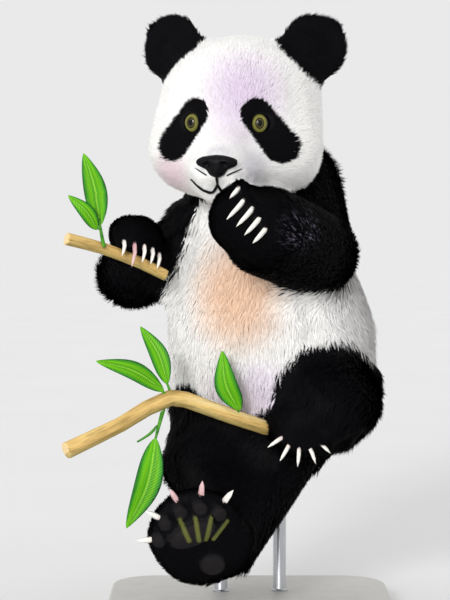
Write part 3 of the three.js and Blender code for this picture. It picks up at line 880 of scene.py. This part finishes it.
def coat_piece(name, points, facing, tint, spot, stuff):
    """One piece of the coat, each tuft with its colour and its own patch of the map."""
    count = len(points)
    starts = np.arange(count)[:, None, None] * TUFT_POINTS
    faces = (TUFT_FACES[None] + starts).reshape(-1, 3)
    piece = made(name, points.reshape(-1, 3), faces)
    along = np.array([*np.repeat(UP_TUFT, 3), *[tip[0] for tip in TIPS]])
    across = np.array([*np.tile([-1, 0, 1], len(UP_TUFT)), *[tip[1] for tip in TIPS]])
    give(piece, tint=np.repeat(tint, TUFT_POINTS, axis=0), shade=np.tile(along, count))
    patch = np.stack([across / 2, along - 0.5], axis=1) * BAKE_PATCH
    places = (spot[:, None, :] + patch[None]).reshape(-1, 2)
    layer = piece.data.uv_layers.new(name="OFBake")
    layer.data.foreach_set("uv", places[faces.ravel()].astype(np.float32).ravel())
    piece.data.normals_split_custom_set_from_vertices(facing.reshape(-1, 3))
    dressed(piece, stuff, "coat_black" if tint.mean() < 0.2 else "coat_white")


def coat(stuff):
    """The whole coat, in pieces of a limited size."""
    spots = unwrapped(skin)
    crowd = spread("crowd", 6) * (1 + FACE_CROWD * face)
    triangle, share = roots(crowd)
    corners = body_faces[triangle]

    def at(values):
        mixed = values[corners] * share.reshape(*share.shape, *[1] * (values.ndim - 1))
        return mixed.sum(axis=1)

    root, normal = at(body_points), unit(at(body_normals))
    lie = along_skin(at(LIE), normal)
    count = len(root)
    length = at(LENGTH) * dice.uniform(*VARIED["length"], count)
    half = at(spread("half", 10) * (1 - FACE_FINE * face)) * dice.uniform(*VARIED["half"], count)
    rise = at(depth) * dice.uniform(*VARIED["rise"], count)
    free = clear_of(root, root + lie * length[:, None] + normal * rise[:, None])
    length = np.where(free < 1, length * CUT_BACK * free, length)
    rise = np.where(free < 1, rise * CUT_BACK * free, rise)

    is_black = at(DARK) + dice.normal(0, RAGGED, count) > 0
    tint = np.where(is_black[:, None], BLACK, at(TINT)) * dice.uniform(*VARIED["tint"], (count, 1))
    # painted highlight: some tufts on the raised forearm are paled towards GLEAM
    lit = blot(root, GLEAM_AT, GLEAM_RADII) * (dice.random(count) < GLEAM_CROWD)
    tint += GLEAM_PALE * lit[:, None] * (GLEAM - tint)
    points, facing = tufts(root, normal, lie, length, half, rise)
    spot = np.einsum("nc,ncd->nd", share, spots[triangle])
    group = np.array([COAT[name]["group"] for name in KINDS])[owner[corners[:, 0]]]
    kept = (length > SHORTEST) & ~bare(root)
    for name in np.unique(group):
        chosen = np.flatnonzero(kept & (group == name))
        pieces = math.ceil(len(chosen) / MOST_TUFTS)
        for number, part in enumerate(np.array_split(chosen, pieces), 1):
            coat_piece(f"coat_{name}_{number}", points[part], facing[part], tint[part], spot[part], stuff)


def skin_tint():
    """The markings of the coat's tips on the skin under them, and the dark leather of the sole."""
    dark, tint = markings(body_points + depth[:, None] * body_normals)
    tint = np.where(dark[:, None] > 0, BLACK, tint)
    tint += on_pads(body_points)[:, None] * (LEATHER - tint)
    tint += 0.8 * on_folds(body_points)[:, None] * (OLIVE - tint)
    return tint


LIE = lie_of_coat()
LENGTH = spread("length", 10) * thinner
# a tuft has the markings of the place half way along it, and near the top of the coat
SEEN = body_points + (0.5 * LENGTH)[:, None] * LIE + 0.8 * depth[:, None] * body_normals
DARK, TINT = markings(SEEN)
coat(coat_stuff())
give(skin, tint=skin_tint())
skin.data.materials.append(skin_stuff())

# ---- eyes

IRIS = 0.0104  # radius of the iris
CORNEA = 0.0009  # how far the cornea stands out
CORNEA_EDGE = (0.3, 1.25)  # where it starts to end, and ends, in radii of the iris
PUPIL_TALL = 1.25  # a pupil's height for its width
UNDER_LID = 0.0002  # how much smaller the eyeball is than its solid


def eyeball(eye, stuff):
    """A ball with a cornea, turned to where the eye looks."""
    axis = GAZE[eye]
    side, up = sides_of(axis)
    angles = np.linspace(0, math.pi, 49)[1:-1]
    turns = np.linspace(0, 2 * math.pi, 64, endpoint=False)
    iris_angle = math.asin(IRIS / EYE_RADIUS)
    angle, turn = (grid.ravel() for grid in np.meshgrid(angles, turns, indexing="ij"))
    angle = np.concatenate([[0], angle, [math.pi]])
    turn = np.concatenate([[0], turn, [0]])
    stands_out = CORNEA * (1 - step_up(angle / iris_angle, *CORNEA_EDGE))
    radius = EYE_RADIUS - UNDER_LID + stands_out
    x, y = radius * np.sin(angle) * np.cos(turn), radius * np.sin(angle) * np.sin(turn)
    points = EYES[eye] + np.outer(radius * np.cos(angle), axis) + np.outer(x, side) + np.outer(y, up)
    piece = made(f"eyeball_{eye.removeprefix('eye_')}", points, ball_faces(len(angles), len(turns)))
    ring = np.hypot(x * PUPIL_TALL**0.5, y / PUPIL_TALL**0.5) / IRIS
    spoke = np.stack([3 * np.cos(turn), 3 * np.sin(turn), 0.5 * ring], axis=1)
    give(piece, ring=np.where(angle < math.pi / 2, ring, 2), spoke=spoke)
    dressed(piece, stuff, "eye", eye)


def eye_stuff():
    """A wet eye: a black pupil, a brown ring, a black line, a broad olive ring and a dark rim."""
    eye = Stuff("eye", roughness=0.5, specular_ior_level=0.0, coat_weight=0.45, coat_roughness=0.02)
    fibre = eye.ramp(eye.noise(5, 4, eye.read("spoke", "Vector")), (0.3, 0.55), (0.7, 1.25))
    black, brown, olive = linear(3, 3, 4), linear(72, 66, 30), linear(126, 124, 58)
    rings = eye.ramp(
        eye.read("ring"),
        (0.31, black), (0.38, brown), (0.47, brown), (0.52, black), (0.57, black), (0.63, olive),
        (0.86, 0.85 * olive), (0.97, 0.3 * olive), (1.0, black),
    )
    eye.colour(eye.times(rings, fibre))
    return eye.made


eye_look = eye_stuff()
for eye in EYES:
    eyeball(eye, eye_look)

# ---- nose and lips


def fine_copy(node, voxel, rounds):
    """A node made again in small facets, smooth, as a new object."""
    points, faces = melted([solid(node)], voxel)
    points = rounded(points, neighbours(faces, len(points)), rounds, inward=0.6, outward=0.55)
    return made(f"{node}_fine", points, faces)


def nose_stuff():
    """Moist black leather, pebbled."""
    leather = Stuff("nose", roughness=0.34, specular_ior_level=0.08)
    leather.colour(leather.shades(leather.noise(160), (0.3, (6, 6, 9)), (0.75, (18, 18, 22))))
    pebbles = {"Vector": leather.place(), "Scale": 750}
    leather.bump(leather.node("TexVoronoi", pebbles).outputs["Distance"], 0.0004, 0.5)
    return leather.made


nose_look = nose_stuff()
dressed(fine_copy("nose", 0.0008, 3), nose_look, "nose", "nose")
dressed(made("lips", lip_points, lip_faces), nose_look, "nose")

# ---- claws

IVORY = linear(246, 242, 234)
QUICK = linear(222, 178, 178)
PINK = linear(214, 158, 164)
PINK_CLAWS = ("claw_hand_right_4", "claw_foot_right_3", "claw_foot_right_4")


def claw_stuff():
    """Horn: smooth, with fine streaks."""
    horn = Stuff("claw", roughness=0.3, specular_ior_level=0.4)
    streaks = horn.ramp(horn.noise(260), (0.3, 0.86), (0.7, 1.0))
    horn.colour(horn.times(horn.read("tint", "Color"), streaks))
    horn.bump(horn.noise(700, 2), 0.0003, 0.3)
    return horn.made


def claw(node, stuff):
    """A claw in fine facets, pink at its root."""
    piece = fine_copy(node, 0.0007, 4)
    points, _, _ = arrays(piece.data)
    paw = middle(node.removeprefix("claw_").rpartition("_")[0])
    out = away(points, paw)
    along = ((out - out.min()) / np.ptp(out))[:, None]
    tint = QUICK + step_up(along, 0.15, 0.6) * (IVORY - QUICK)
    if node in PINK_CLAWS:
        tint = PINK + 0.35 * along * (IVORY - PINK)
    give(piece, tint=tint)
    dressed(piece, stuff, "claw", node)


claw_look = claw_stuff()
for node in NODES:
    if node.startswith("claw_"):
        claw(node, claw_look)

# ---- branches, twigs and leaves

BRANCH_VOXEL, TWIG_VOXEL = 0.0016, 0.0007
RINGS, VEINS = 3800.0, 1500.0  # radians in a metre: of the rings on a cut end, and of a leaf's veins
SHARP = math.radians(70)  # an edge of a leaf that is sharper stays sharp
TIP = 0.001  # how near its end a leaf is a point
SLICES = 40  # of a leaf, to measure its width in
SLANT = 1.1  # how far a leaf's veins run along it for their way aside
WOOD_GRAIN, LEAF_GRAIN = (9, 90), (14, 260)  # how fast the grain changes along them and aside
STALK = dict(radius=0.0015, overlap=0.010, sunk=0.002, bow=0.002)


def spine(points, parts):
    """Each point's place along the middle line of a long thing, and that line at the same place."""
    centre = points.mean(axis=0)
    axis = np.linalg.svd(points - centre, full_matrices=False)[2][0]
    along = (points - centre) @ axis
    edges = np.linspace(along.min(), along.max(), parts + 1)
    number = np.clip(np.searchsorted(edges, along) - 1, 0, parts - 1)
    here = [number == part for part in range(parts)]
    line = np.array([points[part].mean(axis=0) for part in here])
    spots = np.array([along[part].mean() for part in here])
    middle_line = np.stack([np.interp(along, spots, line[:, k]) for k in range(3)], axis=1)
    return along - along.min(), middle_line + np.outer(along - np.interp(along, spots, spots), axis)


def wood_stuff():
    """Tan bark with long olive streaks and fine grain, and painted shade darkening its underside; pale
    rings at a cut.
    """
    wood = Stuff("wood", roughness=0.62, specular_ior_level=0.25)
    grain = wood.read("grain", "Vector")
    fine = wood.noise(6.0, 4, grain)
    tan = wood.shades(
        wood.noise(1.0, 3, grain),
        (0.30, (156, 132, 74)), (0.43, (208, 172, 104)),
        (0.56, (230, 196, 124)), (0.70, (238, 212, 150)),
    )
    # painted shade: the bark is darkened where it faces down
    under = wood.ramp(wood.read("under"), (0.0, (1.0, 1.0, 1.0)), (1.0, (0.56, 0.58, 0.5)))
    bark = wood.times(wood.times(tan, wood.ramp(fine, (0.32, 0.66), (0.5, 1.0))), under)
    rings = wood.wave(wood.read("ring"), RINGS)
    pale = wood.shades(rings, (0.0, (244, 218, 166)), (1.0, (206, 168, 108)))
    wood.colour(wood.mix(wood.read("cut"), bark, pale))
    wood.bump(fine, 0.0012, 0.6)
    return wood.made


def stalk_stuff():
    """Green stalk, a little darker in places."""
    green = Stuff("stalk", roughness=0.45, specular_ior_level=0.25)
    green.colour(green.shades(green.noise(120), (0.3, (40, 112, 24)), (0.7, (86, 158, 40))))
    return green.made


def leaf_stuff():
    """A blade that is bright along its middle and dark at its rim, with a pale rib and veins."""
    blade = Stuff("leaf", roughness=0.42, specular_ior_level=0.2)
    green = blade.shades(
        blade.read("rim"),
        (0.05, (136, 202, 50)), (0.12, (70, 154, 14)), (0.45, (112, 192, 6)),
        (0.8, (52, 146, 30)), (1.0, (18, 84, 34)),
    )
    veins = blade.wave(blade.read("vein"), VEINS)
    streaks = blade.ramp(blade.noise(1.0, 3, blade.read("grain", "Vector")), (0.3, 0.72), (0.65, 1.12))
    blade.colour(blade.times(blade.times(green, streaks), blade.ramp(veins, (0, 0.92), (1, 1.0))))
    blade.bump(veins, 0.0004, 0.5)
    return blade.made


def stick(node, stuff, voxel):
    """A branch or twig in fine facets, with its grain, its cut ends and how far it faces down, for painted
    shade underneath.
    """
    piece = fine_copy(node, voxel, 6)
    points, normals, _ = arrays(piece.data)
    along, line = spine(points, 20)
    aside = points - line
    axis = unit(points[along.argmax()] - points[along.argmin()])
    end = np.minimum(along, along.max() - along)
    long, wide = WOOD_GRAIN
    give(
        piece,
        grain=np.stack([long * along, wide * aside[:, 0], wide * aside[:, 2]], axis=1),
        cut=(np.abs(normals @ axis) > 0.75) * (end < 3 * voxel) * 1.0,
        ring=np.linalg.norm(aside, axis=1),
        # how far the surface faces down, which the bark's painted shade follows
        under=step_up(-normals[:, 2], -0.25, 0.75),
    )
    dressed(piece, stuff, "branch", node)


def rounded_copy(node, levels):
    """A node with its facets turned into smooth curves, its sharp edges and its tips kept."""
    points, faces = solid(node)
    rough = made("rough", points, faces)
    shape = bmesh.new()
    shape.from_mesh(rough.data)
    crease = shape.edges.layers.float.new("crease_edge")
    for edge in shape.edges:
        edge[crease] = float(edge.calc_face_angle(0) > SHARP)
    along, _ = spine(points, 8)
    point = shape.verts.layers.float.new("crease_vert")
    for vert, place in zip(shape.verts, along):
        vert[point] = float(min(place, along.max() - place) < TIP)
    shape.to_mesh(rough.data)
    shape.free()
    return made(f"{node}_fine", *shaped(rough, "SUBSURF", levels=levels))


def leaf(node, stuff):
    """A leaf in fine facets, with its rib and rim, its veins and its grain."""
    piece = rounded_copy(node, 3)
    points, _, _ = arrays(piece.data)
    along, line = spine(points, 16)
    flat = np.linalg.svd(points - line, full_matrices=False)[2][0]
    aside = (points - line) @ flat
    number = np.clip((along / along.max() * SLICES).astype(int), 0, SLICES - 1)
    half = np.zeros(SLICES)
    np.maximum.at(half, number, np.abs(aside))
    long, wide = LEAF_GRAIN
    give(
        piece,
        rim=np.abs(aside) / np.maximum(half[number], 0.002),
        vein=along - SLANT * np.abs(aside),
        grain=np.stack([long * along, wide * aside, 0 * along], axis=1),
    )
    dressed(piece, stuff, "leaf", node)


def stalk(node, wood, stuff):
    """A leaf's stalk, from inside the blade into the nearest wood."""
    points, _ = solid(node)
    along, line = spine(points, 16)
    ends = [along.argmin(), along.argmax()]
    base, far = sorted(ends, key=lambda end: wood.find_nearest(Vector(line[end]))[3])
    foot, normal, _, _ = wood.find_nearest(Vector(line[base]))
    inside = line[base] + STALK["overlap"] * unit(line[far] - line[base])
    root = np.array(foot) - STALK["sunk"] * np.array(normal)
    share = np.linspace(0, 1, 12)[:, None]
    bend = STALK["bow"] * np.sin(math.pi * share) * np.array(normal)
    radii = STALK["radius"] * (0.7 + 0.5 * share[:, 0])
    dressed(made(f"{node}_stalk", *tube(inside + share * (root - inside) + bend, radii)), stuff, "leaf")


wood_look, stalk_look, leaf_look = wood_stuff(), stalk_stuff(), leaf_stuff()
wood_tree = tree_of([solid(node) for node in NODES if node.startswith(("branch_", "twig_"))])
for node in NODES:
    if node.startswith("branch_"):
        stick(node, wood_look, BRANCH_VOXEL)
    elif node.startswith("twig_"):
        stick(node, stalk_look, TWIG_VOXEL)
    elif node.startswith("leaf_"):
        leaf(node, leaf_look)
        stalk(node, wood_tree, stalk_look)

# ---- stand

CORNER = 0.060  # radius of the board's corners
ROUNDING = 0.004  # radius of its edges
WELD = 0.0025  # how far the weld at a rod's foot stands out, and up


def board_stuff():
    """Pale satin paint."""
    paint = Stuff("board", roughness=0.45, specular_ior_level=0.35)
    paint.colour(paint.shades(paint.noise(40), (0.3, (196, 194, 190)), (0.7, (204, 202, 198))))
    paint.bump(paint.noise(500, 2), 0.0003, 0.25)
    return paint.made


def steel_stuff():
    """Brushed steel."""
    steel = Stuff("steel", metallic=1.0, roughness=0.34)
    long = {0: steel.place(), 1: (900, 900, 20)}
    brushed = steel.noise(1.0, 2, steel.node("VectorMath", long, operation="MULTIPLY").outputs[0])
    steel.colour(steel.shades(brushed, (0.3, (172, 174, 178)), (0.7, (204, 206, 209))))
    steel.bump(brushed, 0.0002, 0.2)
    return steel.made


def board():
    """The board with round corners and edges, ring by ring from its top to its underside."""
    low, high = np.array(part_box("stand_base"))
    centre, half = (low + high) / 2, (high - low) / 2
    turns = np.arange(0, 2 * math.pi, math.pi / 48) + math.pi / 96
    way = np.stack([np.cos(turns), np.sin(turns)], axis=1)
    corner = np.sign(way) * (half[:2] - CORNER)
    bends = np.linspace(0, math.pi / 2, 7)
    edge = [(ROUNDING * (1 - math.sin(b)), ROUNDING * (1 - math.cos(b))) for b in bends]
    insets = [(inset, high[2] - drop) for inset, drop in edge]
    insets += [(inset, low[2] + drop) for inset, drop in reversed(edge)]
    insets = [(0.5 * half[0], high[2]), *insets, (0.5 * half[0], low[2])]
    rings = []
    for inset, z in insets:
        ring = corner + (CORNER - inset) * way if inset < CORNER else 0.4 * (corner + CORNER * way)
        rings.append(np.column_stack([ring + centre[:2], np.full(len(ring), z)]))
    shell = closed_rings((*centre[:2], high[2]), rings, (*centre[:2], low[2]))
    dressed(made("board", *shell, smooth=False), board_stuff(), "stand_board", "stand_base")


def rod(node, stuff):
    """A round rod with a small weld at its foot."""
    low, high = np.array(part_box(node))
    radius = (high - low)[0] / 2
    up = np.array([0, 0.2, 0.5, 0.8, 1.0]) * WELD
    heights = np.concatenate([low[2] + up, [high[2] - 0.001, high[2]]])
    radii = radius + np.concatenate([WELD * (1 - up / WELD) ** 2, [0, -0.001]])
    centre = (low + high) / 2
    line = [(centre[0], centre[1], z) for z in heights]
    dressed(made(f"{node}_fine", *tube(line, radii, 48)), stuff, "stand_rod", node)


board()
steel_look = steel_stuff()
for node in ("stand_rod_left", "stand_rod_right"):
    rod(node, steel_look)

# ---- camera, light and floor

AIM = Vector((-0.0325, 0, 0.415))
DISTANCE = 2.6
LOOK_DOWN = math.radians(3)
LENS, SENSOR = 120, 36  # in millimetres
SURROUND = 0.82  # how bright the pale surround is
# each sun's strength, the way it stands from the panda, and how wide it is in degrees
SUNS = {"key": (1.12, (-0.9, -2.4, 1.0), 12), "fill": (1.05, (-0.3, -1.0, 0.15), 30)}


def placed(name, data, way):
    """A new camera or light that stands along a way from the panda and looks back at it."""
    obj = bpy.data.objects.new(name, data)
    obj.rotation_euler = Vector(way).to_track_quat("Z", "Y").to_euler()
    scene.collection.objects.link(obj)
    return obj


def camera():
    """A long lens in front of the panda, a little above it."""
    lens = bpy.data.cameras.new("camera")
    lens.lens = LENS
    lens.sensor_width = SENSOR
    back = Vector((0, -math.cos(LOOK_DOWN), math.sin(LOOK_DOWN)))
    eye = placed("camera", lens, back)
    eye.location = AIM + DISTANCE * back
    scene.camera = eye


def suns():
    """A key from above and the left, and a broader fill from the front; gives their light on the floor."""
    on_floor = 0
    for name, (strength, way, width) in SUNS.items():
        sun = bpy.data.lights.new(name, "SUN")
        sun.energy = strength
        sun.angle = math.radians(width)
        placed(name, sun, way)
        on_floor += strength * Vector(way).normalized().z / math.pi
    return on_floor


def surround():
    """A pale world with the same light from all sides."""
    world = bpy.data.worlds.new("studio")
    world.use_nodes = True
    background = world.node_tree.nodes["Background"].inputs
    background["Color"].default_value = (1, 1, 1, 1)
    background["Strength"].default_value = SURROUND
    scene.world = world


def floor(pale):
    """A plain floor of a given paleness, as broad as the eye can see."""
    bpy.ops.mesh.primitive_plane_add(size=200, location=(0, 0, 0))
    plane = bpy.context.object
    plane.name = "floor"
    paper = Stuff("paper", roughness=1.0, specular_ior_level=0.0)
    paper.colour(paper.ramp(paper.noise(3), (0.3, 0.99 * pale), (0.7, 1.01 * pale)))
    plane.data.materials.append(paper.made)


camera()
surround()
on_floor = SURROUND + suns()
floor(SURROUND / on_floor)  # so that the floor looks as bright as the surround
scene.view_settings.view_transform = "Standard"
